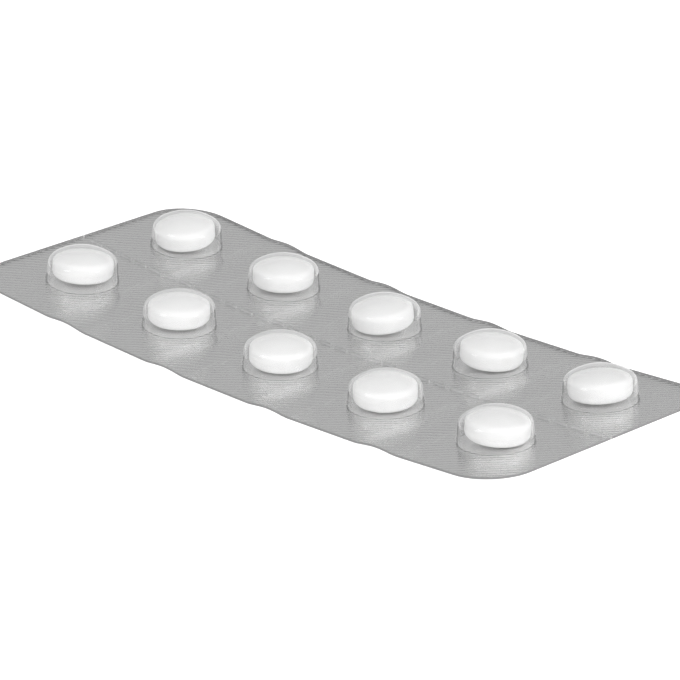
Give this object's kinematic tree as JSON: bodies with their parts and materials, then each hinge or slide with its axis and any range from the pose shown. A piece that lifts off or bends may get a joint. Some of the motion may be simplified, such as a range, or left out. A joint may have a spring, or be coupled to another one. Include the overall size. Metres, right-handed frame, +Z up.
{
  "type": "tablet blister pack",
  "caption": "Clear plastic tablet blister pack with a silver foil back, two rows of domed pockets, white tablets inside and a dashed tear line.",
  "frame": {"origin": "centre of the pack's outline in plan, at the lowest point of the foil's underside", "axes": "+X along the rows of five pockets, +Y across the rows towards the back row, +Z up through the domes"},
  "size_m": [0.0916, 0.0382, 0.0056],
  "materials": {
    "clear_film": "clear, glossy",
    "foil": "satin, finely embossed",
    "tablet": "smooth, slightly satin"
  },
  "bodies": {
    "root": {"blister_film": "clear_film", "lidding_foil": "foil", "tablet_front_1": "tablet", "tablet_front_2": "tablet", "tablet_front_3": "tablet", "tablet_front_4": "tablet", "tablet_front_5": "tablet", "tablet_back_1": "tablet", "tablet_back_2": "tablet", "tablet_back_3": "tablet", "tablet_back_4": "tablet", "tablet_back_5": "tablet"}
  },
  "joints": []
}
